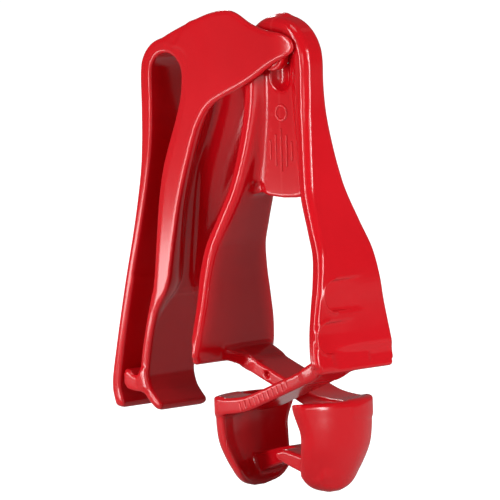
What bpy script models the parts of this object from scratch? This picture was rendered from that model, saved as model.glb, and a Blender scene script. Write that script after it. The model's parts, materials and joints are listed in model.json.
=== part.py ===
"""Work-glove holder: a belt clip joined by a snap pin to a squeeze-to-open glove clip.

Frame: +Z up, +X away from the wearer, Y along the belt. The origin lies on the belt seat, the flat
of the belt clip that rests on the belt. Every length below is in millimetres and every mesh is
stored in metres. Outlines lie in the X-Z plane unless a comment says otherwise.
"""

import math

import bmesh
import bpy
from mathutils import Vector

MM = 0.001
GAP = 0.3  # left between neighbouring pieces

# Belt clip: a strap bent into an upside-down U, stiffened in front by a flat leaf-shaped plate.
BAND_FRONT = -4.5
BAND_BACK = 8.5  # at the origin's height
BAND_TAPER = 0.03  # below the origin the band narrows this much per unit of height
PLATE_BACK = -2.9
REAR_FRONT = 6.3  # the flange along the band's back edge starts here
BAND_WALL = 2.2
SEAT_LEAN = 0.123  # forward lean of the belt seat, as a slope
SEAT_REACH = 6.5  # the seat is flat this far above and below the origin
BACK_LEG_PIVOT = (-1.05, 30.0)

# Glove clip: a wishbone whose axis stands CLIP_X in front of the belt seat.
CLIP_X = 29.0
CLIP_Z = -28.0  # height of the clip's own zero, level with the tops of its jaws
ARCH_Z = 61.2
ARCH_RADIUS = 6.2
BOW_WALL = 3.5
ARCH_WIDTH = 5.2
FLEX_PIVOT = (-10.9, 33.0)
FLEX_RADIUS = 1.5
WEB_HALF = 1.2
WEB_BOTTOM = 37.3
PIN_Z = 62.6
PIN_RADIUS = 1.9
PIN_BULB_RADIUS = 2.05
PIN_TIP = 3.6
HOLE_RADIUS = 2.2
DISH_RADIUS = 3.5
DISH_Z = 58.8
DISH_DEPTH = 1.3
ARM_INNER = 0.6
ARM_OUTER = 9.0
ARM_WALL = 2.45
JAW_WALL = 2.0
JAW_BULGE = 2.0
JAW_TOP = 2.2
TOOTH_INNER = 0.4
TOOTH_OUTER = 4.4

CORNER_STEPS = 3
BRIGHT_RED = (0.72, 0.012, 0.02, 1.0)
DEEP_RED = (0.56, 0.01, 0.016, 1.0)


# ---------------------------------------------------------------- helpers


def clear_scene():
    for obj in list(bpy.data.objects):
        bpy.data.objects.remove(obj, do_unlink=True)


def plastic(name, colour):
    material = bpy.data.materials.new(name)
    material.use_nodes = True
    shader = material.node_tree.nodes["Principled BSDF"]
    shader.inputs["Base Color"].default_value = colour
    shader.inputs["Roughness"].default_value = 0.22
    shader.inputs["Metallic"].default_value = 0.0
    return material


def spline(points, steps):
    """A Catmull-Rom curve through rows of numbers, with steps pieces between neighbours."""
    rows = [Vector(p) for p in points]
    rows = [2 * rows[0] - rows[1]] + rows + [2 * rows[-1] - rows[-2]]
    curve = []
    for a, b, c, d in zip(rows, rows[1:], rows[2:], rows[3:]):
        for k in range(steps):
            t = k / steps
            point = 2 * b + (c - a) * t
            point += (2 * a - 5 * b + 4 * c - d) * t * t
            point += (3 * b - a - 3 * c + d) * t ** 3
            curve.append(point / 2)
    curve.append(rows[-2])
    return [tuple(row) for row in curve]


def round_end(stations):
    """Stations that close the far end of a ribbon as half a cylinder about its last station."""
    x, z, wall, low, high = stations[-1]
    before = stations[-2]
    along = Vector((x - before[0], z - before[1])).normalized()
    radius = wall / 2
    closing = []
    for degrees in (30, 55, 75):
        angle = math.radians(degrees)
        reach = radius * math.sin(angle)
        closing.append(
            (x + along.x * reach, z + along.y * reach, wall * math.cos(angle), low, high)
        )
    return stations + closing


def rounded_section(wall, low, high, corner):
    """Corners of a rounded rectangle: across the wall first, then along Y."""
    corner = min(corner, 0.49 * wall, 0.49 * (high - low))
    section = []
    for quarter, (side, end) in enumerate(((1, high), (-1, high), (-1, low), (1, low))):
        centre_across = side * (wall / 2 - corner)
        centre_along = end - math.copysign(corner, end - (low + high) / 2)
        for k in range(CORNER_STEPS):
            angle = math.pi / 2 * (quarter + k / (CORNER_STEPS - 1))
            section.append(
                (
                    centre_across + corner * math.cos(angle),
                    centre_along + corner * math.sin(angle),
                )
            )
    return section


def ribbon_mesh(name, stations, corner=0.7, base=0.0):
    """A band swept along stations of (x, z, wall, y low, y high).

    The path runs through the middle of the wall, or along its face on one side for base 0.5 or -0.5.
    """
    bm = bmesh.new()
    rings = []
    for index, (x, z, wall, low, high) in enumerate(stations):
        before = stations[max(index - 1, 0)]
        after = stations[min(index + 1, len(stations) - 1)]
        along = Vector((after[0] - before[0], after[1] - before[1])).normalized()
        normal = Vector((along.y, -along.x))
        ring = []
        for across, y in rounded_section(wall, low, high, corner):
            point = Vector((x, z)) + normal * (across + base * wall)
            ring.append(bm.verts.new((point.x, y, point.y)))
        rings.append(ring)
    for ring, following in zip(rings, rings[1:]):
        count = len(ring)
        for k in range(count):
            bm.faces.new((ring[k], ring[(k + 1) % count], following[(k + 1) % count], following[k]))
    bm.faces.new(rings[0][::-1])
    bm.faces.new(rings[-1])
    return finished_mesh(name, bm)


def plate_mesh(name, outline, low, high, bevel=0.0):
    """A flat plate with this outline, from y low to y high, its rims rounded by bevel."""
    bm = bmesh.new()
    face = bm.faces.new([bm.verts.new((x, low, z)) for x, z in outline])
    swept = bmesh.ops.extrude_face_region(bm, geom=[face])
    moved = [item for item in swept["geom"] if isinstance(item, bmesh.types.BMVert)]
    bmesh.ops.translate(bm, verts=moved, vec=(0, high - low, 0))
    if bevel:
        rims = [e for e in bm.edges if abs(e.verts[0].co.y - e.verts[1].co.y) < 1e-6]
        bmesh.ops.bevel(bm, geom=rims, offset=bevel, segments=2, profile=0.5, affect="EDGES")
    return finished_mesh(name, bm)


def turned_mesh(name, profile, segments):
    """A body of revolution about Y, from its profile of (radius, y) with both ends on the axis."""
    bm = bmesh.new()
    rings = []
    for radius, y in profile[1:-1]:
        ring = []
        for k in range(segments):
            angle = 2 * math.pi * k / segments
            ring.append(bm.verts.new((radius * math.cos(angle), y, radius * math.sin(angle))))
        rings.append(ring)
    for ring, following in zip(rings, rings[1:]):
        for k in range(segments):
            after = (k + 1) % segments
            bm.faces.new((ring[k], ring[after], following[after], following[k]))
    for ring, (_, y) in ((rings[0], profile[0]), (rings[-1], profile[-1])):
        tip = bm.verts.new((0, y, 0))
        for k in range(segments):
            bm.faces.new((ring[k], ring[(k + 1) % segments], tip))
    return finished_mesh(name, bm)


def finished_mesh(name, bm):
    """Faces turned outwards, lengths turned from millimetres to metres, smooth shading."""
    bmesh.ops.recalc_face_normals(bm, faces=bm.faces)
    bmesh.ops.scale(bm, vec=(MM, MM, MM), verts=bm.verts)
    mesh = bpy.data.meshes.new(name)
    bm.to_mesh(mesh)
    bm.free()
    mesh.shade_smooth()
    mesh.set_sharp_from_angle(angle=math.radians(40))
    return mesh


def place(name, mesh, material, origin=(0, 0, 0), turn=0.0):
    """A named object at origin, in millimetres, turned about Z."""
    obj = bpy.data.objects.new(name, mesh)
    if not mesh.materials:
        mesh.materials.append(material)
    bpy.context.scene.collection.objects.link(obj)
    obj.location = Vector(origin) * MM
    obj.rotation_euler.z = turn
    return obj


def cut(obj, cutter):
    """Removes a hidden cutter's volume from obj."""
    cutter.hide_render = True
    cutter.display_type = "WIRE"
    boolean = obj.modifiers.new("cut_" + cutter.name, "BOOLEAN")
    boolean.operation = "DIFFERENCE"
    boolean.solver = "EXACT"
    boolean.object = cutter


def about(points, pivot):
    """The same stations or outline measured from pivot."""
    return [(p[0] - pivot[0], p[1] - pivot[1]) + tuple(p[2:]) for p in points]


def arc(centre, radius, first, last, steps):
    """Points along a circle, from the first to the last angle in degrees."""
    points = []
    for k in range(steps + 1):
        angle = math.radians(first + (last - first) * k / steps)
        points.append((centre[0] + radius * math.cos(angle), centre[1] + radius * math.sin(angle)))
    return points


# ---------------------------------------------------------------- belt clip


def band_back(z):
    """Y of the band's back edge at height z."""
    return BAND_BACK + BAND_TAPER * min(z, 0)


def slot_side():
    """The strap's slot side, from the crown's left end, round the bulb and down past the seat."""
    bulb = [(0.5, 31.8), (1.3, 32.9), (2.7, 33.7), (4.3, 33.9), (6.0, 33.2), (7.2, 31.5)]
    throat = [(7.5, 29.6), (7.0, 26.6), (5.7, 22.2), (3.7, 17.5), (2.1, 13.0)]
    high = (SEAT_LEAN * SEAT_REACH, SEAT_REACH)
    low = (-high[0], -SEAT_REACH)
    return spline(bulb + throat + [high], 2) + [low]


def hanger_plate():
    """The flat leaf in front: it rings the bulb of the slot and ends in the tongue that holds the pin."""
    crown = [(-2.5, 31.8), (-1.5, 33.2), (0.2, 34.9), (3.5, 36.8), (7.5, 38.6), (12.6, 40.6)]
    shoulder = [(15.6, 41.5), (18.6, 42.0), (21.2, 41.6), (24.7, 39.9), (28.4, 38.9)]
    tip = [(31.2, 38.1), (33.2, 36.9), (33.8, 35.5), (33.0, 34.4)]
    under = [(31.2, 33.6), (28.2, 31.7), (25.9, 30.4), (22.3, 28.6), (18.0, 26.7), (14.6, 25.2)]
    flange = [(12.2, 23.4), (10.0, 20.4), (8.0, 15.0), (5.6, 7.8), (3.2, -0.4), (1.2, -7.2)]
    outline = spline(crown + shoulder + tip + under + flange, 2)
    outline += list(reversed(slot_side()))
    mesh = plate_mesh("hanger_plate", outline, BAND_FRONT, PLATE_BACK)
    return place("hanger_plate", mesh, plastic("hanger_plate_red", BRIGHT_RED))


def rear_flange():
    """The flange along the strap's back edge. It has the plate's outline but no tongue."""
    crown = [(-2.5, 31.8), (-1.5, 33.2), (0.2, 34.9), (3.5, 36.8), (7.5, 37.3), (11.0, 36.1)]
    shoulder = [(13.4, 33.3), (14.4, 29.5), (14.6, 25.0), (14.2, 20.0), (11.8, 14.0)]
    flange = [(9.0, 9.4), (6.3, 4.6), (3.6, -1.2), (1.2, -7.2)]
    outline = spline(crown + shoulder + flange, 2)
    outline += list(reversed(slot_side()))
    mesh = plate_mesh("rear_flange", outline, REAR_FRONT, BAND_BACK)
    return place("rear_flange", mesh, plastic("rear_flange_red", BRIGHT_RED))


def crown_strap():
    """The strap between its two flanges, from the crown's left end to the foot of the belt seat."""
    stations = [
        (x, z, BAND_WALL + 0.7 * max(0, z - SEAT_REACH) / 25, PLATE_BACK + GAP, REAR_FRONT - GAP)
        for x, z in slot_side()
    ]
    mesh = ribbon_mesh("crown_strap", stations, corner=0.5, base=-0.5)
    return place("crown_strap", mesh, plastic("crown_strap_red", DEEP_RED))


def front_leg():
    """The strap below the seat, ending in the lip that turns away from the wearer."""
    top = (-SEAT_LEAN * SEAT_REACH, -SEAT_REACH - GAP)
    knee = [(-1.6, -9.5), (-2.6, -12.8), (-3.8, -17.4), (-4.7, -21.6), (-4.9, -24.2)]
    lip = [(-3.9, -26.8), (-2.5, -28.4), (-1.2, -29.6)]
    path = spline([top] + knee + lip, 2)
    stations = [(x, z, 2.0, BAND_FRONT, band_back(z)) for x, z in path]
    mesh = ribbon_mesh("front_leg", stations, corner=0.8, base=-0.5)
    return place("front_leg", mesh, plastic("front_leg_red", BRIGHT_RED))


def belt_hook():
    """The barb across the slot's mouth that keeps the belt in."""
    outline = [(-5.25, -23.5), (-6.3, -23.7), (-7.4, -22.9), (-8.4, -22.7), (-8.8, -23.6)]
    outline += [(-8.8, -25.4), (-8.1, -26.3), (-6.4, -26.6), (-4.85, -26.5), (-5.25, -25.0)]
    back = band_back(outline[0][1]) - GAP
    mesh = plate_mesh("belt_hook", outline, BAND_FRONT + GAP, back, bevel=0.3)
    return place("belt_hook", mesh, plastic("belt_hook_red", BRIGHT_RED))


def back_leg():
    """The leg behind the belt. Its round top end lies on the axis about which it springs."""
    down = [
        BACK_LEG_PIVOT + (2.8,),
        (-1.2, 24.0, 2.9),
        (-1.5, 18.0, 2.6),
        (-2.3, 12.0, 2.2),
        (-4.3, 3.0, 2.0),
        (-7.2, -8.0, 2.0),
        (-9.8, -19.0, 2.0),
        (-11.0, -25.5, 2.1),
        (-10.4, -29.2, 2.1),
    ]
    path = [(x, z, wall, BAND_FRONT, band_back(z)) for x, z, wall in down]
    stations = spline(path, 3)
    stations = round_end(stations)
    stations = round_end(stations[::-1])
    mesh = ribbon_mesh("back_leg", about(stations, BACK_LEG_PIVOT), corner=0.8)
    pivot = (BACK_LEG_PIVOT[0], 0, BACK_LEG_PIVOT[1])
    return place("back_leg", mesh, plastic("back_leg_red", BRIGHT_RED), pivot)


# ---------------------------------------------------------------- glove clip


def snap_pin():
    """The post on the tongue's back, with a bulb that the web's hole snaps over."""
    profile = [
        (0, PLATE_BACK + GAP),
        (PIN_RADIUS, PLATE_BACK + GAP),
        (PIN_RADIUS, WEB_HALF + 0.3),
        (PIN_BULB_RADIUS, WEB_HALF + 0.9),
        (PIN_BULB_RADIUS, PIN_TIP - 1.0),
        (PIN_RADIUS * 0.6, PIN_TIP - 0.2),
        (0, PIN_TIP),
    ]
    mesh = turned_mesh("snap_pin", profile, 24)
    place("snap_pin", mesh, plastic("snap_pin_red", DEEP_RED), (CLIP_X, 0, CLIP_Z + PIN_Z))


def bow():
    """The wishbone's arch and upper legs, down to the flex lines under the web."""
    leg = [
        (-10.05, 34.8, 3.0, 11.3),
        (-9.0, 37.7, 3.2, 10.2),
        (-7.9, 42.0, 3.4, 8.6),
        (-7.1, 46.5, 3.5, 7.2),
        (-6.4, 52.0, 3.5, 5.9),
        (-6.2, 56.5, 3.5, ARCH_WIDTH),
    ]
    half = spline(leg, 2)
    arch = arc((0, ARCH_Z), ARCH_RADIUS, 180, 90, 6)
    half += [(x, z, BOW_WALL, ARCH_WIDTH) for x, z in arch]
    mirrored = [(-x, z, wall, width) for x, z, wall, width in half[-2::-1]]
    stations = [(x, z, wall, -width / 2, width / 2) for x, z, wall, width in half + mirrored]
    mesh = ribbon_mesh("bow", stations, corner=1.3)
    place("bow", mesh, plastic("bow_red", BRIGHT_RED), (CLIP_X, 0, CLIP_Z))


def web_plate():
    """The thin web inside the bow, with the pin hole and a dish below it."""
    inner = ARCH_RADIUS - BOW_WALL / 2 - GAP
    side = [(inner, ARCH_Z), (4.3, 54.0), (4.7, 49.5), (5.3, 45.5), (6.1, 41.5), (6.8, 38.9)]
    bottom = [(5.6, 37.9), (3.0, 37.45), (0, WEB_BOTTOM)]
    right = arc((0, ARCH_Z), inner, 90, 0, 6)[:-1] + side + bottom
    outline = right + [(-x, z) for x, z in right[-2:0:-1]]
    mesh = plate_mesh("web_plate", outline, -WEB_HALF, WEB_HALF)
    web = place("web_plate", mesh, plastic("web_plate_red", DEEP_RED), (CLIP_X, 0, CLIP_Z))
    hole = turned_mesh(
        "pin_hole", [(0, -3), (HOLE_RADIUS, -3), (HOLE_RADIUS, 3), (0, 3)], 24
    )
    cut(web, place("pin_hole", hole, web.data.materials[0], (CLIP_X, 0, CLIP_Z + PIN_Z)))
    floor = DISH_DEPTH - WEB_HALF
    dish = turned_mesh("dish", [(0, -3), (DISH_RADIUS, -3), (DISH_RADIUS - 0.4, floor), (0, floor)], 24)
    cut(web, place("dish", dish, web.data.materials[0], (CLIP_X, 0, CLIP_Z + DISH_Z)))


def jaw_section(z):
    """Distance of the jaw's outer face from the clip's axis and its half width, at height z."""
    rows = [
        (-13.8, 7.6, 1.5),
        (-13.1, 7.9, 3.2),
        (-12.0, 8.5, 4.9),
        (-10.0, 9.3, 6.3),
        (-6.3, 10.7, 7.6),
        (-3.5, 11.15, 8.2),
        (JAW_TOP, 11.2, 8.6),
    ]
    for low, high in zip(rows, rows[1:]):
        if z <= high[0]:
            share = (z - low[0]) / (high[0] - low[0])
            return low[1] + share * (high[1] - low[1]), low[2] + share * (high[2] - low[2])
    return rows[-1][1:]


def jaw_inner_face(z, y):
    """X of the jaw's inner face, measured from the clip's axis."""
    reach, half_width = jaw_section(z)
    return reach - JAW_WALL + JAW_BULGE * (1 - (y / half_width) ** 2)


def jaw_mesh():
    """A D-shaped scoop, hollow towards the clip's axis."""
    heights = [-13.8, -13.4, -13.0, -12.2, -11.2, -10.0, -8.4, -6.6, -4.8, -2.6, -0.4, JAW_TOP]
    shares = [-1, -0.85, -0.6, -0.3, 0, 0.3, 0.6, 0.85, 1]
    bm = bmesh.new()
    faces = {}
    for wall in (0.0, JAW_WALL):
        for row, z in enumerate(heights):
            half_width = jaw_section(z)[1]
            for column, share in enumerate(shares):
                y = share * half_width
                x = jaw_inner_face(z, y) + wall
                faces[wall, row, column] = bm.verts.new((x, y, z))
    last_row, last_column = len(heights) - 1, len(shares) - 1
    for row in range(last_row):
        for column in range(last_column):
            corners = ((row, column), (row, column + 1), (row + 1, column + 1), (row + 1, column))
            bm.faces.new([faces[(0.0,) + c] for c in corners])
            bm.faces.new([faces[(JAW_WALL,) + c] for c in reversed(corners)])
    rim = [(0, c) for c in range(last_column)] + [(r, last_column) for r in range(last_row)]
    rim += [(last_row, c) for c in range(last_column, 0, -1)] + [(r, 0) for r in range(last_row, 0, -1)]
    for here, after in zip(rim, rim[1:] + rim[:1]):
        bm.faces.new(
            (
                faces[(JAW_WALL,) + here],
                faces[(JAW_WALL,) + after],
                faces[(0.0,) + after],
                faces[(0.0,) + here],
            )
        )
    bmesh.ops.translate(bm, verts=bm.verts, vec=(-FLEX_PIVOT[0], 0, -FLEX_PIVOT[1]))
    return finished_mesh("jaw", bm)


def handle_mesh():
    """One flared handle, from its round top end on the flex axis to its straight bottom edge."""
    rows = [
        (-15.4, 7.7, 2.0, 20.4),
        (-14.6, 10.4, 2.0, 19.9),
        (-14.1, 14.5, 2.1, 18.6),
        (-13.9, 19.2, 2.3, 16.8),
        (-13.8, 23.5, 2.5, 15.3),
        (-13.1, 28.2, 2.7, 13.6),
        FLEX_PIVOT + (2 * FLEX_RADIUS, 11.9),
    ]
    path = [(x, z, wall, -width / 2, width / 2) for x, z, wall, width in rows]
    stations = round_end(spline(path, 3))
    return ribbon_mesh("handle", about(stations, FLEX_PIVOT), corner=0.9)


def cross_arm_mesh():
    """The arm that carries the opposite jaw: it crosses the clip's axis beside its twin."""
    root = -14.0 + 1.0 + GAP
    end = jaw_inner_face(-0.7, ARM_OUTER) - 2 * GAP
    rows = [(root, 7.7), (-9.0, 6.3), (-4.5, 4.55), (0.0, 2.8), (3.5, 1.55), (end, 0.5)]
    path = [(x, z, ARM_WALL, ARM_INNER, ARM_OUTER) for x, z in rows]
    return ribbon_mesh("cross_arm", about(spline(path, 2), FLEX_PIVOT), corner=0.6)


def tooth_mesh():
    """The tusk on the jaw's inner face, which lies beside its twin when the clip is shut."""
    root = jaw_inner_face(-10.2, TOOTH_OUTER) - GAP
    rows = [
        (root, -10.0, 3.0),
        (6.2, -9.05, 3.0),
        (3.4, -8.3, 2.75),
        (1.5, -7.8, 2.4),
        (0.2, -7.7, 1.7),
    ]
    path = [(x, z, wall, -TOOTH_OUTER, -TOOTH_INNER) for x, z, wall in rows]
    return ribbon_mesh("tooth", about(round_end(spline(path, 3)), FLEX_PIVOT), corner=0.6)


def levers():
    """Each lever is a handle, its cross arm and the jaw on the clip's other side.

    The right lever is the left one given half a turn about the clip's axis.
    """
    meshes = {
        "handle": handle_mesh(),
        "cross_arm": cross_arm_mesh(),
        "jaw": jaw_mesh(),
        "jaw_tooth": tooth_mesh(),
    }
    for side, opposite, turn in (("left", "right", 0.0), ("right", "left", math.pi)):
        sign = math.cos(turn)
        pivot = (CLIP_X + sign * FLEX_PIVOT[0], 0, CLIP_Z + FLEX_PIVOT[1])
        for piece, mesh in meshes.items():
            held = opposite if piece.startswith("jaw") else side
            name = f"{held}_{piece}"
            colour = DEEP_RED if piece.startswith("jaw") else BRIGHT_RED
            place(name, mesh.copy(), plastic(name + "_red", colour), pivot, turn)


clear_scene()
hanger_plate()
rear_flange()
crown_strap()
front_leg()
belt_hook()
back_leg()
snap_pin()
bow()
web_plate()
levers()
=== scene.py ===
"""Looks of the glove clip with belt clip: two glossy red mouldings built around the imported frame.

Each moulding is described as a field, the signed distance in millimetres to its surface, made of
bands swept in the X-Z plane, flat plates and scooped jaws that melt into each other with fillets.
The field is meshed on a fine grid and every vertex is then moved onto the true surface.
"""
import itertools
import json
import math

import bmesh
import bpy
import numpy as np
from mathutils import Matrix, Vector


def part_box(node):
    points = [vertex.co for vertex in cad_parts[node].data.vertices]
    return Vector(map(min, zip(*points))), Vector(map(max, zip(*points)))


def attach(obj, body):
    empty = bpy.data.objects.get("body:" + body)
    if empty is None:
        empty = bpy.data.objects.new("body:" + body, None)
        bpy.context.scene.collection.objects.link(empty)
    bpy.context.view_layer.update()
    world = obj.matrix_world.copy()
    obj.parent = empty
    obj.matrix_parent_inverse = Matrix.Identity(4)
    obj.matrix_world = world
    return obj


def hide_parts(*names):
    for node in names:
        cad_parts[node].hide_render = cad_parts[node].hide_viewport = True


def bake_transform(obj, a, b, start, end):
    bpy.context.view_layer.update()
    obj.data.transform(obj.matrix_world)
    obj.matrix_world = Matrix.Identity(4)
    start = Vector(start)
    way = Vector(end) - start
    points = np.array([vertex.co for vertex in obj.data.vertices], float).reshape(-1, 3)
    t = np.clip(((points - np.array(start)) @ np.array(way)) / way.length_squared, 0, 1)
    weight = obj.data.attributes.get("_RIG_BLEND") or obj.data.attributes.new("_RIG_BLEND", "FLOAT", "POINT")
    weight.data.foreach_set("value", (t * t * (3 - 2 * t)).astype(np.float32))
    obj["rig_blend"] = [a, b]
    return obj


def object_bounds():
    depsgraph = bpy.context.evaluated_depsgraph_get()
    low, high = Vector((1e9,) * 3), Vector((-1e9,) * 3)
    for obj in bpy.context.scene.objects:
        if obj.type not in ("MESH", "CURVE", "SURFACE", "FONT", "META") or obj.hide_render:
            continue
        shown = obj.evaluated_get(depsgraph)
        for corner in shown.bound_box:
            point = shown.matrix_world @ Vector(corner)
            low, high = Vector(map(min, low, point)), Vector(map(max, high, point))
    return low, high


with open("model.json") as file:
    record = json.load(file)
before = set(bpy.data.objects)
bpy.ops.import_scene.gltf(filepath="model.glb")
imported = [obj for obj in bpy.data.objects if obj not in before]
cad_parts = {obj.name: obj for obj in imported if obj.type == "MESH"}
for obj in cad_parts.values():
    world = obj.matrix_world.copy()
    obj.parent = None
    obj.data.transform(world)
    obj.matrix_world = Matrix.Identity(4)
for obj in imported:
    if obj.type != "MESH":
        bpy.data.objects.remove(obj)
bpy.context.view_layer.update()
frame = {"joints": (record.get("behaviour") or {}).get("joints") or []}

MM = 0.001
STEP = 0.3  # grid of the moulded skins
FINE_STEP = 0.12  # grid of the raised marks
PIN_STEP = 0.2
MARGIN = 1.2  # room left round a field's box when it is meshed
FAR = 1e6  # more than any squared distance here


# ---------------------------------------------------------------- places taken from the frame


def box_mm(node):
    """The low and high corners of a node's box in millimetres."""
    low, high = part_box(node)
    return np.array(low) / MM, np.array(high) / MM


def joint_mm(name):
    """A joint's place in millimetres."""
    joint = next(j for j in frame["joints"] if j["name"] == name)
    return np.array(joint["pos_m"]) / MM


BOW_LOW, BOW_HIGH = box_mm("bow")
PLATE_LOW, PLATE_HIGH = box_mm("hanger_plate")
CLIP_X = (BOW_LOW[0] + BOW_HIGH[0]) / 2  # the glove clip's axis
CLIP_TOP = 69.15  # height of the arch above the clip's own zero, level with its jaws
CLIP_Z = BOW_HIGH[2] - CLIP_TOP
BAND_FRONT = PLATE_LOW[1]
PLATE_BACK = PLATE_HIGH[1]
LEFT_PIVOT = joint_mm("left_squeeze")
RIGHT_PIVOT = joint_mm("right_squeeze")
PIN = joint_mm("swivel")


# ---------------------------------------------------------------- fields


def spline(rows, steps=6):
    """A Catmull-Rom curve through rows of numbers."""
    rows = np.array(rows, float)
    rows = np.vstack([2 * rows[0] - rows[1], rows, 2 * rows[-1] - rows[-2]])
    curve = []
    for a, b, c, d in zip(rows, rows[1:], rows[2:], rows[3:]):
        for t in np.arange(steps) / steps:
            linear = 2 * b + (c - a) * t
            curve.append((linear + (2 * a - 5 * b + 4 * c - d) * t * t + (3 * b - a - 3 * c + d) * t**3) / 2)
    curve.append(rows[-2])
    return np.array(curve)


def arc(centre, radius, first, last, count):
    """Points on a circle between two angles in degrees."""
    angles = np.radians(np.linspace(first, last, count))
    return [(centre[0] + radius * math.cos(a), centre[1] + radius * math.sin(a)) for a in angles]


def melt(a, b, reach):
    """Union of two fields with a fillet."""
    return np.minimum(a, b) - np.maximum(reach - np.abs(a - b), 0) ** 2 / (4 * reach)


def ease(share):
    """A smooth step from 0 to 1."""
    share = np.clip(share, 0, 1)
    return share * share * (3 - 2 * share)


def trim(a, b, reach):
    """Intersection of two fields with a rounded edge."""
    return np.maximum(a, b) + np.maximum(reach - np.abs(a - b), 0) ** 2 / (4 * reach)


def rounded(a, b, corner):
    """Intersection of two perpendicular fields with a round edge of this radius."""
    p, q = a + corner, b + corner
    return np.minimum(np.maximum(p, q), 0) + np.hypot(np.maximum(p, 0), np.maximum(q, 0)) - corner


def nearest(path, x, z):
    """Distance from each (x, z) to a path, and the path's further columns at the nearest point."""
    x, z = np.broadcast_arrays(x, z)
    best = np.full(x.shape, FAR)
    columns = [np.zeros(x.shape) for _ in path[0][2:]]
    for a, b in zip(path, path[1:]):
        run = b - a
        share = ((x - a[0]) * run[0] + (z - a[1]) * run[1]) / (run[0] ** 2 + run[1] ** 2)
        share = np.clip(share, 0, 1)
        distance = (x - a[0] - share * run[0]) ** 2 + (z - a[1] - share * run[1]) ** 2
        near = distance < best
        best = np.where(near, distance, best)
        columns = [np.where(near, a[k] + share * run[k], c) for k, c in enumerate(columns, 2)]
    return np.sqrt(best), columns


NEAR_HALF = 0.499  # a corner's largest share of a strip's thickness or width


def band(path, corner):
    """A strip swept along a path of (x, z, wall, y low, y high). The corner may depend on the height."""

    def field(x, y, z):
        distance, (wall, low, high) = nearest(path, x, z)
        limit = corner(z) if callable(corner) else corner
        radius = np.minimum(limit, NEAR_HALF * np.minimum(wall, high - low))
        return rounded(distance - wall / 2, np.maximum(low - y, y - high), radius)

    return field


def outline_distance(points, x, z):
    """Signed distance in the plane to a closed outline, negative inside."""
    x, z = np.broadcast_arrays(x, z)
    best = np.full(x.shape, FAR)
    inside = np.zeros(x.shape, bool)
    for a, b in zip(points, np.roll(points, -1, axis=0)):
        run = b - a
        share = np.clip(((x - a[0]) * run[0] + (z - a[1]) * run[1]) / (run @ run), 0, 1)
        best = np.minimum(best, (x - a[0] - share * run[0]) ** 2 + (z - a[1] - share * run[1]) ** 2)
        if a[1] != b[1]:
            crosses = (a[1] > z) != (b[1] > z)
            inside ^= crosses & (x < a[0] + (z - a[1]) * run[0] / run[1])
    return np.sqrt(best) * np.where(inside, -1, 1)


def plate(points, low, high, corner):
    """An outline in the X-Z plane, thick from y low to y high."""
    points = np.array(points, float)

    def field(x, y, z):
        return rounded(outline_distance(points, x, z), np.maximum(low - y, y - high), corner)

    return field


def capsule(start, end, radius):
    """A round-ended rod."""
    start, end = np.array(start, float), np.array(end, float)
    run = end - start

    def field(x, y, z):
        share = ((x - start[0]) * run[0] + (y - start[1]) * run[1] + (z - start[2]) * run[2]) / (run @ run)
        share = np.clip(share, 0, 1)
        gaps = [c - s - share * r for c, s, r in zip((x, y, z), start, run)]
        return np.sqrt(gaps[0] ** 2 + gaps[1] ** 2 + gaps[2] ** 2) - radius

    return field


def together(parts):
    """Several fields as one."""

    def field(x, y, z):
        total = FAR
        for part in parts:
            total = np.minimum(total, part(x, y, z))
        return total

    return field


def wire_ring(centre, radius, wire, y_face):
    """A wire ring that lies flat on a face."""

    def field(x, y, z):
        return np.hypot(np.hypot(x - centre[0], z - centre[1]) - radius, y - y_face) - wire

    return field


# ---------------------------------------------------------------- meshing


def surface_net(field, low, high, step):
    """Vertices and quads of the field's zero surface inside a box, in millimetres."""
    axes = [np.arange(a, b + step, step) for a, b in zip(low, high)]
    x, y, z = axes[0][:, None, None], axes[1][None, :, None], axes[2][None, None, :]
    values = np.broadcast_to(field(x, y, z), [len(a) for a in axes]).astype(np.float32)
    solid = values < 0
    cells = [slice(0, -1), slice(1, None)]
    offsets = itertools.product((0, 1), repeat=3)
    count = sum(solid[cells[i], cells[j], cells[k]].astype(np.int8) for i, j, k in offsets)
    active = (count > 0) & (count < 8)
    number = np.full(active.shape, -1, np.int64)
    number[active] = np.arange(active.sum())
    corner = np.argwhere(active)
    total = np.zeros(corner.shape)
    hits = np.zeros(len(corner))
    for axis in range(3):
        unit = np.eye(3, dtype=int)[axis]
        others = [np.eye(3, dtype=int)[k] for k in range(3) if k != axis]
        for i, j in itertools.product((0, 1), repeat=2):
            start = corner + i * others[0] + j * others[1]
            first = values[tuple(start.T)]
            second = values[tuple((start + unit).T)]
            crossed = (first < 0) != (second < 0)
            share = np.where(crossed, first / np.where(crossed, first - second, 1), 0)
            total[crossed] += (start + share[:, None] * unit)[crossed]
            hits += crossed
    points = np.array([a[0] for a in axes]) + step * total / hits[:, None]
    quads = []
    for axis in range(3):
        u, v = (axis + 1) % 3, (axis + 2) % 3
        here, after = [slice(None)] * 3, [slice(None)] * 3
        here[axis], after[axis] = slice(0, -1), slice(1, None)
        change = solid[tuple(here)].astype(np.int8) - solid[tuple(after)].astype(np.int8)
        for sign in (1, -1):
            at = np.argwhere(change == sign)
            at = at[(at[:, u] > 0) & (at[:, v] > 0)]
            at = at[(at[:, u] < active.shape[u]) & (at[:, v] < active.shape[v])]
            ring = []
            for du, dv in ((1, 1), (0, 1), (0, 0), (1, 0)):
                cell = at.copy()
                cell[:, u] -= du
                cell[:, v] -= dv
                ring.append(number[tuple(cell.T)])
            ring = np.stack(ring[::sign], axis=1)
            quads.append(ring)
    return points, np.vstack(quads)


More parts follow.
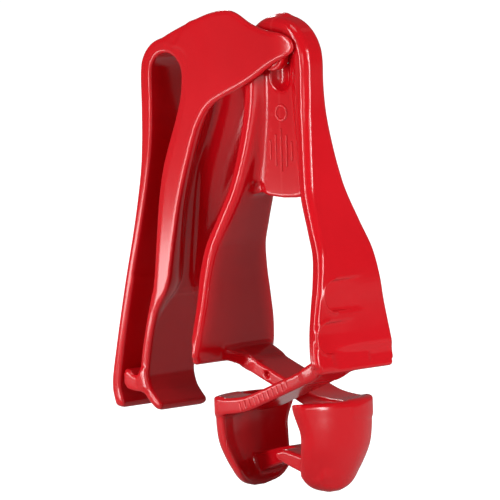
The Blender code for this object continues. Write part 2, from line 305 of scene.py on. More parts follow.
def gradient(field, points):
    """Unit outward normals and the field's slope at points."""
    reach = 0.02
    slopes = []
    for axis in range(3):
        shift = np.zeros(3)
        shift[axis] = reach
        ahead = field(*(points + shift).T)
        behind = field(*(points - shift).T)
        slopes.append((ahead - behind) / (2 * reach))
    slopes = np.stack(slopes, axis=1)
    length = np.linalg.norm(slopes, axis=1)
    return slopes / length[:, None], length


LEAST_SLOPE = 0.3  # a flatter field is treated as this steep, so that no vertex jumps


def settle(field, points, step):
    """Points moved onto the field's zero surface."""
    for _ in range(2):
        normals, slope = gradient(field, points)
        move = np.clip(field(*points.T) / np.maximum(slope, LEAST_SLOPE), -step / 2, step / 2)
        points = points - normals * move[:, None]
    return points


def skin(name, field, low, high, offset, material, step=STEP):
    """The meshed field as an object; offset takes the field's own origin to the frame's."""
    points, quads = surface_net(field, np.array(low) - MARGIN, np.array(high) + MARGIN, step)
    points = settle(field, points, step)
    mesh = bpy.data.meshes.new(name)
    mesh.from_pydata(((points + offset) * MM).tolist(), [], quads.tolist())
    mesh.materials.append(material)
    mesh.shade_smooth()
    obj = bpy.data.objects.new(name, mesh)
    bpy.context.scene.collection.objects.link(obj)
    return obj


# ---------------------------------------------------------------- belt clip

REAR_LOW, REAR_HIGH = box_mm("rear_flange")
REAR_FRONT = REAR_LOW[1]
BAND_BACK = REAR_HIGH[1]
BAND_TAPER = 0.03  # how fast the strap narrows towards its foot
FOOT_Z = -29.85  # the strap's foot is cut off here
FOOT_CORNER = 1.7
HOOK_Z = -24  # near its middle
HOOK_CORNER = 0.5
TONGUE_BEND = 27.0  # beyond this X the tongue's face falls away
TONGUE_FALL = 0.016
STRAP_CORNER = 0.85
LEAF_CORNER = 0.78
REAR_CORNER = 0.9
LEAST_FILLET = 0.3
CHANNEL_FILLET = 6.5  # how much wider the fillets are on the strap's channel side
CHANNEL_START, CHANNEL_RUN = -0.5, 2.6  # distance past the strap's middle over which they widen
FADE_START, FADE_RUN = -14, 8  # heights over which they come in above the foot
CROWN_LEAN = 0.45  # over the crown the channel side begins further out, by this slope
BULB = (3.9, 30.1)  # middle of the slot's round top end
BULB_RADIUS = 3.65


def band_back(z):
    """Where the strap's back edge lies at this height."""
    return BAND_BACK + BAND_TAPER * np.minimum(z, 0)


def strap_path():
    """The strap's middle line, from the back leg's foot over the crown to the lip."""
    back = [(-10.35, -28.9, 2.1), (-11.0, -25.5, 2.1), (-9.8, -19.0, 2.0), (-7.2, -8.0, 2.0)]
    back += [(-4.3, 3.0, 2.0), (-2.3, 12.0, 2.2), (-1.5, 18.0, 2.6), (-1.2, 24.0, 2.8)]
    crown = [(x, z, 2.8) for x, z in arc(BULB, BULB_RADIUS + 1.4, 180, 0, 7)]
    front = [(8.5, 26.2, 2.7), (6.95, 21.7, 2.6), (4.95, 17.0, 2.5), (3.3, 12.6, 2.4), (1.9, 6.4, 2.2)]
    front += [(0.3, -6.6, 2.2), (-0.6, -9.8, 2.1), (-1.65, -13.1, 2.0), (-2.85, -17.6, 2.0)]
    front += [(-3.7, -21.8, 2.0), (-3.85, -24.2, 2.0), (-3.0, -26.4, 2.0)]
    front += [(-1.9, -27.7, 1.9), (-0.75, -28.8, 1.8)]
    rows = [(x, z, wall, BAND_FRONT, band_back(z)) for x, z, wall in back + crown + front]
    return spline(rows, 4)


def front_middle():
    """The front leg's middle line as rows of (x, z), upwards."""
    rows = strap_path()
    return rows[np.argmax(rows[:, 1]):, :2][::-1]


def slot_outline():
    """The belt slot as a closed outline, from its neck to the bulb."""
    left = [(-5.7, -6.0), (-3.3, 3.0), (-1.2, 12.0), (-0.2, 18.0), (0.2, 24.0)]
    bulb = arc(BULB, BULB_RADIUS, 180, 0, 9)
    right = [(7.1, 26.4), (5.7, 22.2), (3.7, 17.5), (2.1, 13.0), (0.8, 6.5), (-0.7, -6.0)]
    return spline(left + bulb + right, 3)


FLANGE_FOOT = [(-0.4, -12.5), (-2.2, -18.0)]  # both flanges run out inside the strap


def plate_outline():
    """The leaf-shaped plate in front, closed along the strap's middle line."""
    crown = [(-1.4, 30.1), (-1.3, 33.0), (0.4, 34.9), (3.5, 36.8), (7.5, 38.6), (12.6, 40.6)]
    shoulder = [(15.6, 41.5), (18.6, 42.0), (21.2, 41.6), (24.7, 39.9), (28.4, 38.9)]
    tip = [(31.7, 38.5), (34.0, 37.7), (34.9, 36.4), (34.6, 35.2), (33.0, 34.3)]
    under = [(30.8, 33.3), (28.2, 31.9), (25.9, 30.5), (22.3, 28.7), (18.0, 26.8), (14.6, 25.2)]
    flange = [(12.2, 23.4), (10.0, 20.4), (8.0, 15.0), (5.6, 7.8), (3.2, -0.4), (1.4, -7.0)]
    return np.vstack([spline(crown + shoulder + tip + under + flange + FLANGE_FOOT, 4), inner_edge()])


def rear_outline():
    """The flange along the strap's back edge, with no tongue."""
    crown = [(-1.4, 30.1), (-1.3, 33.0), (0.4, 34.9), (3.5, 36.8), (7.5, 37.3), (11.0, 36.1)]
    shoulder = [(13.4, 33.3), (14.4, 29.5), (14.6, 25.0), (14.2, 20.0), (11.8, 14.0)]
    flange = [(9.0, 9.4), (6.3, 4.6), (3.6, -1.2), (1.6, -7.0)]
    return np.vstack([spline(crown + shoulder + flange + FLANGE_FOOT, 4), inner_edge()])


def inner_edge():
    """Where both flanges end inside the strap."""
    rows = [(-3.4, -18.0), (-1.6, -13.0), (-0.4, -6.0), (2.0, 6.5), (3.4, 12.7), (5.0, 17.0), (7.0, 21.8)]
    return spline(rows + [(8.4, 26.2)] + arc(BULB, BULB_RADIUS + 1.3, 0, 180, 7), 3)


def belt_clip_field():
    """The whole belt clip: a strap with a flange on each edge, wide fillets on its channel side only."""
    strap = band(strap_path(), STRAP_CORNER)
    leaf = plate(plate_outline(), BAND_FRONT, PLATE_BACK, LEAF_CORNER)
    rear = plate(rear_outline(), REAR_FRONT, BAND_BACK, REAR_CORNER)
    slot = slot_outline()
    middle = front_middle()
    barb = [(-3.9, -22.6), (-5.4, -23.6), (-6.3, -23.7), (-7.4, -22.9), (-8.4, -22.7), (-8.9, -23.6)]
    barb += [(-8.9, -25.4), (-8.1, -26.3), (-6.4, -26.6), (-4.4, -26.6), (-3.3, -26.0)]
    hook = plate(barb, BAND_FRONT + 0.1, band_back(HOOK_Z) - 0.3, HOOK_CORNER)

    def field(x, y, z):
        outward = x - np.interp(z, middle[:, 1], middle[:, 0]) - CROWN_LEAN * np.maximum(z - BULB[1], 0)
        wide = ease((outward - CHANNEL_START) / CHANNEL_RUN) * ease((z - FADE_START) / FADE_RUN)
        reach = LEAST_FILLET + CHANNEL_FILLET * wide
        body = melt(strap(x, y, z), leaf(x, y, z), reach)
        body = melt(body, rear(x, y, z), reach)
        body = trim(body, -outline_distance(slot, x, z) - 0.1, 0.7)
        bent = TONGUE_FALL * np.maximum(x - TONGUE_BEND, 0) ** 2
        body = trim(body, np.maximum(BAND_FRONT + bent - y, y - BAND_BACK), 0.5)
        foot = rounded(BAND_FRONT - y, FOOT_Z - z, FOOT_CORNER)
        foot = np.maximum(foot, rounded(y - band_back(z), FOOT_Z - z, FOOT_CORNER))
        body = trim(body, foot, 0.3)
        return melt(body, hook(x, y, z), 1.2)

    return field


# ---------------------------------------------------------------- glove clip

ARCH_Z = 61.2
ARCH_RADIUS = 6.2
ARCH_WIDTH = 5.2
BOW_WALL = 3.5
WEB_HALF = 1.2
PIN_HOLE = 1.95
PIN_LOCAL = PIN[2] - CLIP_Z
DISH_FLOOR = 0.2
JAW_WALL = 2.0
JAW_BULGE = 2.7
JAW_FLARE = 1.2  # how far the rim leans out at its top, on the side away from the arm
FLARE_START, FLARE_RUN = -4.0, 6.0  # heights over which it leans out
JAW_CORNER = 0.95
JAW_LEAST_HALF = 6.5  # half width that the bulge keeps where the jaw narrows to its tip
JAW_OVERRUN = 1.25  # share of the half width at which the bulge's curve stops
ARM_WALL = 2.5
ARM_GROWTH = 0.04  # how fast the wall thickens beyond the axis
ARM_INNER, ARM_OUTER = 0.6, 9.0
ARM_REACH = 8.6  # the arm is dressed back to this distance from the clip's middle plane
TOOTH_INNER, TOOTH_OUTER = 0.4, 4.4
DIMPLE_RADIUS = 0.55
HANDLE_CORNER = 0.85
CORNER_GROWTH = 0.8  # how much rounder the edges are at the arch
CORNER_START, CORNER_RUN = 22, 16  # heights over which they grow rounder
GRIP_DEPTH = 0.95
GRIP_RADIUS = 2.65
GRIP_CLEAR = 0.6  # how far the pocket's floor has left the handle where it ends
GRIP_RUN_OUT = 14.0  # length over which the floor rises out of the handle
LIP_RADIUS = 0.3
LIP_SINK = 0.08
GRIP_PLACES = ((21.2, -3.9), (13.9, -6.1))  # heights, and where each pocket's round end begins
# heights on the handle, and how far its outside lies from the axis there
HANDLE_OUTSIDE = ((7.7, 10.4, 14.5, 19.2, 23.5, 28.2), (16.4, 15.65, 15.2, 15.05, 15.05, 14.5))


def legs_path():
    """Handle, leg, arch, leg and handle as one line of (x, z, wall, y low, y high)."""
    half = [
        (-15.15, 8.7, 1.9, 18.6),
        (-15.0, 9.4, 2.0, 19.8),
        (-14.6, 11.2, 2.1, 19.6),
        (-14.15, 14.8, 2.2, 18.6),
        (-13.9, 19.2, 2.3, 16.9),
        (-13.8, 23.5, 2.5, 15.3),
        (-13.1, 28.2, 2.7, 13.6),
        (-11.3, 32.4, 2.9, 12.1),
        (-9.0, 37.7, 3.2, 10.2),
        (-7.9, 42.0, 3.4, 8.6),
        (-7.1, 46.5, BOW_WALL, 7.2),
        (-6.4, 52.0, BOW_WALL, 5.9),
        (-6.2, 57.0, BOW_WALL, ARCH_WIDTH),
    ]
    half += [(x, z, BOW_WALL, ARCH_WIDTH) for x, z in arc((0, ARCH_Z), ARCH_RADIUS, 180, 90, 5)]
    rows = half + [(-x, z, wall, width) for x, z, wall, width in half[-2::-1]]
    return spline([(x, z, wall, -width / 2, width / 2) for x, z, wall, width in rows], 5)


def web_outline():
    """The web that closes the arch, as a closed outline."""
    side = [(ARCH_RADIUS, ARCH_Z), (6.3, 54.0), (6.6, 49.5), (6.9, 45.5), (7.6, 41.5), (8.0, 39.2)]
    bottom = [(6.4, 38.1), (3.2, 37.45), (0, 37.25)]
    right = arc((0, ARCH_Z), ARCH_RADIUS, 90, 0, 7)[:-1] + side + bottom
    return right + [(-x, z) for x, z in right[-2:0:-1]]


def jaw_profile():
    """Rows of height, distance of the rim's outer side from the axis and half width, upwards."""
    rows = [(-13.9, 7.5, 1.2), (-13.2, 7.9, 3.8), (-12.0, 8.5, 5.5), (-10.0, 9.4, 6.8)]
    rows += [(-6.3, 10.7, 7.9), (-3.0, 11.15, 8.2), (0.0, 11.2, 8.2), (2.3, 11.2, 8.2)]
    return spline(rows, 5)


def jaw_middle(profile, y, z):
    """X of the middle of the jaw's wall, and how much its slant thickens the wall along X."""
    reach = np.interp(z, profile[:, 0], profile[:, 1])
    half = np.maximum(np.interp(z, profile[:, 0], profile[:, 2]), JAW_LEAST_HALF)
    share = np.clip(y / half, -JAW_OVERRUN, JAW_OVERRUN)
    middle = reach - JAW_WALL / 2 + JAW_BULGE * (1 - share**2)
    return middle, np.hypot(1, 2 * JAW_BULGE * share / half)


def jaw_with_arm(arm):
    """The right jaw's scoop, melted into an arm whose end is dressed flush with the jaw's outside."""
    profile = jaw_profile()
    flared = profile[::-1, [2, 0]] * [-1, 1]
    flared[:, 0] -= JAW_FLARE * ease((flared[:, 1] - FLARE_START) / FLARE_RUN)
    outline = np.vstack([profile[:, [2, 0]], flared])

    def field(x, y, z):
        middle, steep = jaw_middle(profile, y, z)
        edge = outline_distance(outline, y, z)
        scoop = rounded(np.abs(x - middle) / steep - JAW_WALL / 2, edge, JAW_CORNER)
        outside = rounded((x - middle) / steep - JAW_WALL / 2, np.abs(y) - ARM_REACH, JAW_CORNER)
        return melt(scoop, trim(arm(x, y, z), outside, 0.5), 0.9)

    return field


def lever(side, legs):
    """One lever's field: side -1 is the left handle with its cross arm and the right jaw."""
    turn = -side

    def turned(part):
        return lambda x, y, z: part(turn * x, turn * y, z)

    arm_rows = [(-13.6, 8.3), (-12.4, 7.75), (-9.0, 6.3), (-4.5, 4.55), (0.0, 2.8), (3.5, 1.55), (7.5, 0.9)]
    arm_rows += [(12.5, 0.6)]
    walls = [ARM_WALL + max(x, 0) * ARM_GROWTH for x, z in arm_rows]
    arm = band(spline([(*row, wall, ARM_INNER, ARM_OUTER) for row, wall in zip(arm_rows, walls)], 4), 0.3)
    # where the arm grows out of its handle
    root_rows = [(-14.6, 9.6, 1.8, -3.5, 8.2), (-13.2, 8.6, 2.2, -2.0, 8.4), (-11.8, 7.6, 2.2, 0.6, 8.6)]
    root = band(spline(root_rows, 4), 0.6)
    tooth_rows = [(9.6, -10.2, 3.2), (6.2, -9.05, 3.0), (3.4, -8.3, 2.75), (1.5, -7.8, 2.4), (0.2, -7.7, 1.7)]
    tooth = band(spline([(*row, -TOOTH_OUTER, -TOOTH_INNER) for row in tooth_rows], 4), 0.5)
    held = jaw_with_arm(arm)
    dimple = capsule((-7.0, 0.0, 5.6), (-7.0, 0.9, 5.6), DIMPLE_RADIUS)

    def moving(x, y, z):
        part = melt(held(x, y, z), root(x, y, z), 1.2)
        part = trim(part, -dimple(x, y, z), 0.2)
        return melt(part, tooth(x, y, z), 1.0)

    carried = turned(moving)
    return lambda x, y, z: melt(legs(x, y, z), carried(x, y, z), 0.9)


def finger_grip(turn, height, front):
    """A finger hold in a handle's outside: the fields of a round-ended pocket and of its lip."""

    def level(x, z):
        return turn * x - np.interp(z, HANDLE_OUTSIDE[0], HANDLE_OUTSIDE[1])

    def rim(y, z):
        return np.hypot(np.minimum(turn * y - front, 0), z - height) - GRIP_RADIUS

    def pocket(x, y, z):
        run = (turn * y - front + GRIP_RADIUS) / GRIP_RUN_OUT
        floor = (GRIP_DEPTH + GRIP_CLEAR) * ease(run) - GRIP_DEPTH
        return np.maximum(rim(y, z), floor - level(x, z))

    def lip(x, y, z):
        along = np.hypot(rim(y, z) - LIP_RADIUS, np.maximum(turn * y - front, 0))
        return np.hypot(along, level(x, z) + LIP_SINK) - LIP_RADIUS

    return pocket, lip


def glove_clip_field():
    """The whole glove clip about its own axis; its two levers are the same part turned half round."""

    def edge(z):
        return HANDLE_CORNER + CORNER_GROWTH * ease((z - CORNER_START) / CORNER_RUN)

    wishbone = band(legs_path(), edge)
    # each cut or bump is a round-ended rod: its two ends, then its radius
    dish = capsule((0.3, -2.6, 58.3), (0.3, -2.6, 60.5), 2.75)
    web_hollows = [capsule((s * 5.3, -1.9, 37.6), (s * 5.6, -1.9, 39.0), 1.0) for s in (-1, 1)]
    handle_valleys = [capsule((s * 17.5, s * -4.0, 10.3), (s * 17.5, s * 14.0, 10.3), 2.3) for s in (-1, 1)]
    gate_nub = capsule((-0.5, 0, 68.75), (0.9, 0, 68.7), 0.95)
    web = plate(web_outline(), -WEB_HALF, WEB_HALF, 0.3)
    grips = [finger_grip(turn, *place) for turn in (1, -1) for place in GRIP_PLACES]

    def legs(x, y, z):
        part = melt(wishbone(x, y, z), web(x, y, z), 2.4)
        part = melt(part, gate_nub(x, y, z), 0.8)
        for pocket, lip in grips:
            part = trim(melt(part, lip(x, y, z), 0.25), -pocket(x, y, z), 0.3)
        for valley in handle_valleys:
            part = trim(part, -valley(x, y, z), 0.8)
        for hollow in web_hollows:
            part = trim(part, -hollow(x, y, z), 0.5)
        hole = np.hypot(x, z - PIN_LOCAL) - PIN_HOLE
        part = trim(part, -hole, 0.4)
        return trim(part, -np.maximum(dish(x, y, z), y - DISH_FLOOR), 0.35)

    left, right = lever(-1, legs), lever(1, legs)
    return lambda x, y, z: np.minimum(left(x, y, z), right(x, y, z))


SPLIT_Z = (CLIP_Z + 20) * MM  # above the crossing arms, so that only the arch and the web are cut
NORMAL_LAYERS = ("nx", "ny", "nz")


def split_glove_clip(whole, material):
    """Two closed halves that meet inside the arch and the web: each holds one lever."""
    mesh = whole.data
    normals = np.zeros(len(mesh.vertices) * 3, np.float32)
    mesh.vertices.foreach_get("normal", normals)
    normals = normals.reshape(-1, 3)
    bm = bmesh.new()
    bm.from_mesh(mesh)
    layers = [bm.verts.layers.float.new(name) for name in NORMAL_LAYERS]
    for vert, normal in zip(bm.verts, normals):
        for layer, value in zip(layers, normal):
            vert[layer] = value
    upper = [f for f in bm.faces if f.calc_center_median().z > SPLIT_Z]
    geometry = set(upper)
    for face in upper:
        geometry.update(face.verts)
        geometry.update(face.edges)
    cut = bmesh.ops.bisect_plane(
        bm, geom=list(geometry), dist=1e-7, plane_co=(CLIP_X * MM, 0, 0), plane_no=(1, 0, 0)
    )
    seam = [item for item in cut["geom_cut"] if isinstance(item, bmesh.types.BMEdge)]
    bmesh.ops.split_edges(bm, edges=seam)
    halves = []
    for name, side in (("glove_clip_left_half", -1), ("glove_clip_right_half", 1)):
        halves.append(take_half(bm, name, side, material))
    bm.free()
    bpy.data.objects.remove(whole)
    return halves


def islands(bm):
    """The mesh's connected sets of faces."""
    left = set(bm.faces)
    while left:
        stack = [left.pop()]
        found = set(stack)
        while stack:
            for edge in stack.pop().edges:
                for face in edge.link_faces:
                    if face in left:
                        left.discard(face)
                        found.add(face)
                        stack.append(face)
        yield found


def take_half(bm, name, side, material):
    """A copy of the island whose upper part lies on this side, with its open seam capped."""
    for island in islands(bm):
        upper = [v.co.x for f in island for v in f.verts if v.co.z > SPLIT_Z]
        if upper and (np.mean(upper) - CLIP_X * MM) * side > 0:
            break
    keep = {f.index for f in island}
    half = bm.copy()
    half.faces.ensure_lookup_table()
    layers = [half.verts.layers.float[key] for key in NORMAL_LAYERS]
    doomed = [f for f in half.faces if f.index not in keep]
    bmesh.ops.delete(half, geom=doomed, context="FACES")
    rim = [e for e in half.edges if e.is_boundary]
    caps = set(bmesh.ops.holes_fill(half, edges=rim)["faces"])
    bmesh.ops.recalc_face_normals(half, faces=list(half.faces))
    half.faces.index_update()
    corner_normals = []
    for face in half.faces:
        for vert in face.verts:
            if face in caps:
                corner_normals.append(face.normal.copy())
            else:
                corner_normals.append(Vector([vert[layer] for layer in layers]).normalized())
    mesh = bpy.data.meshes.new(name)
    half.to_mesh(mesh)
    half.free()
    for key in NORMAL_LAYERS:
        mesh.attributes.remove(mesh.attributes[key])
    mesh.materials.clear()
    mesh.materials.append(material)
    mesh.shade_smooth()
    mesh.normals_split_custom_set(corner_normals)
    obj = bpy.data.objects.new(name, mesh)
    bpy.context.scene.collection.objects.link(obj)
    return obj


# ---------------------------------------------------------------- snap pin

PIN_RADIUS = 1.9
PIN_BULB = 2.08
PIN_ROOT = -3.2
PIN_TIP = 3.55
BULB_STEEPNESS = 0.85  # makes up for the slanting profile, so that the field stays near a distance
COLLAR_RADIUS = 2.9
COLLAR_FACE = -1.3
SLIT_HALF = 0.3
SLIT_FLOOR = 0.2


def pin_field():
    """The snap pin about its own axis: a post, a bulb and a slit that lets the bulb close up."""
    ys = (-3.0, 1.5, 2.1, 2.6, 3.3, 3.65)
    radii = (PIN_RADIUS, PIN_RADIUS, PIN_BULB, PIN_BULB, 1.3, 0.4)

    def field(x, y, z):
        body = (np.hypot(x, z) - np.interp(y, ys, radii)) * BULB_STEEPNESS
        body = rounded(body, np.maximum(PIN_ROOT - y, y - PIN_TIP), 0.25)
        collar = rounded(np.hypot(x, z) - COLLAR_RADIUS, np.maximum(PIN_ROOT - y, y - COLLAR_FACE), 0.2)
        body = melt(body, collar, 0.4)
        slit = np.maximum(np.abs(x) - SLIT_HALF, SLIT_FLOOR - y)
        return trim(body, -slit, 0.15)

    return field


# ---------------------------------------------------------------- marks

RIB_RADIUS = 0.3
RIB_Y = 0.1 - WEB_HALF
RIB_ROWS = ((-2.6, 1.5), (-1.3, 2.6), (0.0, 3.6), (1.3, 2.6), (2.6, 1.5))  # X and half length
RIB_Z = 45.6
RING_MIDDLE = (0.2, 52.2)
RING_RADIUS = 1.3
TICK_RADIUS = 0.27
TICK_Y = 0.08 - ARM_REACH
TICKS = 11
FIRST_TICK = -4.6
TICK_PITCH = 1.15
TICK_LEAN = 0.22
TICK_HALF = 0.6


def web_marks_field():
    """A ring over five upright ribs on the web's front."""
    parts = [wire_ring(RING_MIDDLE, RING_RADIUS, RIB_RADIUS, RIB_Y)]
    for x, half in RIB_ROWS:
        parts.append(capsule((x, RIB_Y, RIB_Z - half), (x, RIB_Y, RIB_Z + half), RIB_RADIUS))
    return together(parts)


def tick_height(x):
    """Height of the middle of a tick, along a line that follows the right arm."""
    run = x + 3.5
    return 1.35 + 0.335 * run + 0.006 * run ** 2


def arm_ticks_field():
    """A row of slanting ticks that follows the right arm's front."""
    parts = []
    for k in range(TICKS):
        x = FIRST_TICK + TICK_PITCH * k
        low = (x + TICK_LEAN, TICK_Y, tick_height(x) - TICK_HALF)
        high = (x - TICK_LEAN, TICK_Y, tick_height(x) + TICK_HALF)
        parts.append(capsule(low, high, TICK_RADIUS))
    return together(parts)


# ---------------------------------------------------------------- materials


def glossy_red(name, dark, bright, gloss):
    """Moulded acetal: clouded red, faint flow lines, a fine skin and slightly paler convex edges, a painted
    highlight along the rims.
    """
    material = bpy.data.materials.new(name)
    material.use_nodes = True
    nodes, links = material.node_tree.nodes, material.node_tree.links
    shader = nodes["Principled BSDF"]
    place = nodes.new("ShaderNodeTexCoord")

    def noise(scale, detail, stretch=(1, 1, 1)):
        mapping = nodes.new("ShaderNodeMapping")
        mapping.inputs["Scale"].default_value = stretch
        links.new(place.outputs["Object"], mapping.inputs["Vector"])
        texture = nodes.new("ShaderNodeTexNoise")
        texture.inputs["Scale"].default_value = scale
        texture.inputs["Detail"].default_value = detail
        links.new(mapping.outputs["Vector"], texture.inputs["Vector"])
        return texture.outputs["Fac"]

    cloud = noise(scale=45, detail=3)
    tint = nodes.new("ShaderNodeValToRGB")
    tint.color_ramp.elements[0].position = 0.3
    tint.color_ramp.elements[0].color = dark
    tint.color_ramp.elements[1].position = 0.7
    tint.color_ramp.elements[1].color = bright
    links.new(cloud, tint.inputs["Fac"])
    geometry = nodes.new("ShaderNodeNewGeometry")
    # Convex edges, found by pointiness, are mixed toward a paler red: a painted highlight along the rims.
    edges = nodes.new("ShaderNodeMapRange")
    edges.inputs["From Min"].default_value = 0.52
    edges.inputs["From Max"].default_value = 0.60
    edges.inputs["To Max"].default_value = 0.10
    links.new(geometry.outputs["Pointiness"], edges.inputs["Value"])
    painted_rim_highlight = nodes.new("ShaderNodeMix")
    painted_rim_highlight.data_type = "RGBA"
    painted_rim_highlight.inputs["B"].default_value = (0.80, 0.10, 0.10, 1)
    links.new(edges.outputs["Result"], painted_rim_highlight.inputs["Factor"])
    links.new(tint.outputs["Color"], painted_rim_highlight.inputs["A"])
    links.new(painted_rim_highlight.outputs["Result"], shader.inputs["Base Color"])
    skin_grain = noise(scale=1500, detail=2)
    flow = noise(scale=160, detail=4, stretch=(1, 1, 0.12))
    polish = nodes.new("ShaderNodeMapRange")
    polish.inputs["To Min"].default_value = gloss - 0.04
    polish.inputs["To Max"].default_value = gloss + 0.06
    links.new(flow, polish.inputs["Value"])
    links.new(polish.outputs["Result"], shader.inputs["Roughness"])
    both = nodes.new("ShaderNodeMath")
    both.operation = "MULTIPLY_ADD"
    both.inputs[1].default_value = 0.35
    links.new(skin_grain, both.inputs[0])
    links.new(flow, both.inputs[2])
    bump = nodes.new("ShaderNodeBump")
    bump.inputs["Strength"].default_value = 0.12
    bump.inputs["Distance"].default_value = 0.00008
    links.new(both.outputs["Value"], bump.inputs["Height"])
    links.new(bump.outputs["Normal"], shader.inputs["Normal"])
    shader.inputs["Specular IOR Level"].default_value = 0.42
    return material


def pale_floor():
    """A sweep of pale board with a faint tooth that burns out to white for the camera alone."""
    material = bpy.data.materials.new("pale_floor")
    material.use_nodes = True
    nodes, links = material.node_tree.nodes, material.node_tree.links
    shader = nodes["Principled BSDF"]
    place = nodes.new("ShaderNodeTexCoord")
    tooth = nodes.new("ShaderNodeTexNoise")
    tooth.inputs["Scale"].default_value = 60
    links.new(place.outputs["Object"], tooth.inputs["Vector"])
    board = nodes.new("ShaderNodeValToRGB")
    board.color_ramp.elements[0].color = (0.42, 0.42, 0.42, 1)
    board.color_ramp.elements[1].color = (0.48, 0.48, 0.48, 1)
    links.new(tooth.outputs["Fac"], board.inputs["Fac"])
    links.new(board.outputs["Color"], shader.inputs["Base Color"])
    shader.inputs["Roughness"].default_value = 0.6
    shader.inputs["Specular IOR Level"].default_value = 0.1
    seen = nodes.new("ShaderNodeLightPath")
    lift = nodes.new("ShaderNodeMath")
    lift.operation = "MULTIPLY_ADD"
    lift.inputs[1].default_value = 0.15
    links.new(seen.outputs["Is Glossy Ray"], lift.inputs[0])
    links.new(seen.outputs["Is Camera Ray"], lift.inputs[2])
    links.new(lift.outputs["Value"], shader.inputs["Emission Strength"])
    return material


# ---------------------------------------------------------------- build

red = glossy_red("acetal_red", (0.58, 0.003, 0.008, 1), (0.66, 0.005, 0.012, 1), 0.14)
# The raised marks get a paler copy of the red: a painted highlight on their ridges.
painted_highlight_red = glossy_red("acetal_red_painted_highlight", (0.66, 0.012, 0.018, 1), (0.76, 0.022, 0.028, 1), 0.12)

CROWN_BEND = 1.4  # half the length over which the crown shares the back leg's bend
LEVER_BEND = 3.4  # the same for a handle's root

strap_nodes = ("hanger_plate", "rear_flange", "crown_strap", "front_leg", "belt_hook", "back_leg")
low = np.min([box_mm(n)[0] for n in strap_nodes], axis=0)
high = np.max([box_mm(n)[1] for n in strap_nodes], axis=0)
belt_clip = skin("belt_clip_moulding", belt_clip_field(), low, high, np.zeros(3), red)
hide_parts(*strap_nodes)
crown_middle = Vector((BULB[0] - 0.6, 0, BULB[1])) * MM
bend = Vector((-1, 0, 0.2)).normalized() * CROWN_BEND * MM
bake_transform(belt_clip, "belt_clip", "back_leg", crown_middle - bend, crown_middle + bend)

clip_nodes = ["bow", "web_plate"]
for side in ("left_", "right_"):
    clip_nodes += [side + part for part in ("handle", "cross_arm", "jaw", "jaw_tooth")]
low = np.min([box_mm(n)[0] for n in clip_nodes], axis=0)
high = np.max([box_mm(n)[1] for n in clip_nodes], axis=0)
clip_origin = np.array([CLIP_X, 0, CLIP_Z])
whole = skin("glove_clip_whole", glove_clip_field(), low - clip_origin, high - clip_origin, clip_origin, red)
left_half, right_half = split_glove_clip(whole, red)
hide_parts("bow", "left_handle", "left_cross_arm", "right_jaw", "right_jaw_tooth")
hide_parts("web_plate", "right_handle", "right_cross_arm", "left_jaw", "left_jaw_tooth")
bend = Vector((0, 0, LEVER_BEND * MM))
for half, body, pivot in ((left_half, "left_lever", LEFT_PIVOT), (right_half, "right_lever", RIGHT_PIVOT)):
    centre = Vector(pivot) * MM
    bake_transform(half, "glove_clip_head", body, centre + bend, centre - bend)

pin_origin = np.array([PIN[0], 0, PIN[2]])
pin = skin("snap_pin_post", pin_field(), (-3.1, -3.3, -3.1), (3.1, 3.7, 3.1), pin_origin, red, PIN_STEP)
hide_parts("snap_pin")
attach(pin, "snap_pin")

low, high = (-4, -1.8, 41), (4, -0.6, 54.5)
# The web marks wear the paler red, a painted highlight.
web_marks = skin("web_marks", web_marks_field(), low, high, clip_origin, painted_highlight_red, FINE_STEP)
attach(web_marks, "glove_clip_head")

low, high = (-5.2, -9.4, -1), (8, -8.7, 8)
# The arm ticks wear the paler red, a painted highlight.
arm_ticks = skin("arm_ticks", arm_ticks_field(), low, high, clip_origin, painted_highlight_red, FINE_STEP)
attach(arm_ticks, "right_lever")

# ---------------------------------------------------------------- stage

STAGE_CENTRE = Vector((0.02, 0, 0))


def toward(x, y, z, distance):
    """A point this far from the stage's centre in a direction."""
    return STAGE_CENTRE + Vector((x, y, z)).normalized() * distance


def area_light(name, place, power, width, height):
    """A rectangular light that faces the stage's centre."""
    data = bpy.data.lights.new(name, "AREA")
    data.energy = power
    data.shape = "RECTANGLE"
    data.size = width
    data.size_y = height
    obj = bpy.data.objects.new(name, data)
    bpy.context.scene.collection.objects.link(obj)
    obj.location = place
    obj.rotation_euler = (STAGE_CENTRE - Vector(place)).to_track_quat("-Z", "Y").to_euler()


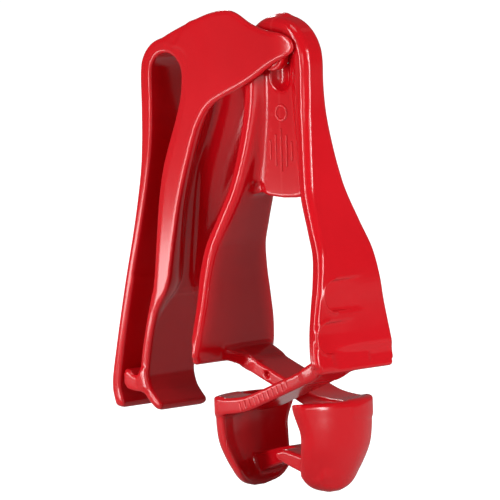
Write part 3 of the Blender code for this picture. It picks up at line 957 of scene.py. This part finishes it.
AZIMUTH, ELEVATION, ROLL = math.radians(45), math.radians(6), math.radians(1.7)
CAMERA_DISTANCE = 2.0
VIEW_WIDTH = 87.5  # millimetres across the picture at the glove clip
AIM_RIGHT, AIM_UP = -7.6475, 27.825  # from the glove clip's own zero to the middle of the view
SENSOR = 36
level = math.cos(ELEVATION)
back = Vector((math.sin(AZIMUTH) * level, -math.cos(AZIMUTH) * level, math.sin(ELEVATION)))
side = Vector((math.cos(AZIMUTH), math.sin(AZIMUTH), 0))
rise = back.cross(side)
right = math.cos(ROLL) * side - math.sin(ROLL) * rise
up = math.sin(ROLL) * side + math.cos(ROLL) * rise
target = (Vector(clip_origin) + AIM_RIGHT * right + AIM_UP * up) * MM
camera_data = bpy.data.cameras.new("camera")
camera = bpy.data.objects.new("camera", camera_data)
bpy.context.scene.collection.objects.link(camera)
camera.location = target + back * CAMERA_DISTANCE
turn = np.array([list(right), list(up), list(back)]).T
camera.matrix_world = Matrix.Translation(camera.location) @ Matrix(turn.tolist()).to_4x4()
camera_data.sensor_width = SENSOR
camera_data.lens = SENSOR * CAMERA_DISTANCE / (VIEW_WIDTH * MM)
camera_data.clip_start = 0.01
camera_data.clip_end = 20
bpy.context.scene.camera = camera

FLOOR_REACH = 3.0
FLOOR_DROP = 0.0005
floor_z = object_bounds()[0][2] - FLOOR_DROP
corners = [(-1, -1), (1, -1), (1, 1), (-1, 1)]
floor_mesh = bpy.data.meshes.new("floor")
floor_mesh.from_pydata([(FLOOR_REACH * x, FLOOR_REACH * y, floor_z) for x, y in corners], [], [(0, 1, 2, 3)])
floor = bpy.data.objects.new("floor", floor_mesh)
bpy.context.scene.collection.objects.link(floor)
floor_mesh.materials.append(pale_floor())

world = bpy.data.worlds.new("studio")
bpy.context.scene.world = world
world.use_nodes = True
sky = world.node_tree.nodes["Background"]
sky.inputs["Color"].default_value = (1, 1, 1, 1)
sky.inputs["Strength"].default_value = 0.13
bpy.context.scene.view_settings.view_transform = "Standard"

area_light("front_strip", toward(-0.25, -0.97, 0.20, 0.42), power=1.15, width=0.05, height=0.42)
area_light("right_strip", toward(0.99, 0.0, 0.20, 0.45), power=1.3, width=0.07, height=0.26)
area_light("front_soft", toward(-0.05, -0.97, 0.30, 1.2), power=0.4, width=0.5, height=0.5)
area_light("right_soft", toward(1.0, -0.15, 0.30, 1.0), power=1.35, width=0.35, height=0.35)
area_light("fill_soft", toward(0.3, -0.95, 0.02, 1.2), power=1.6, width=0.4, height=0.4)
area_light("top_soft", toward(0.1, -0.25, 1.0, 0.9), power=0.8, width=0.25, height=0.25)
area_light("back_rim", toward(-0.7, 0.5, 0.5, 0.9), power=1.7, width=0.2, height=0.2)
area_light("low_kicker", (-0.07, -0.14, -0.025), power=0.08, width=0.12, height=0.02)
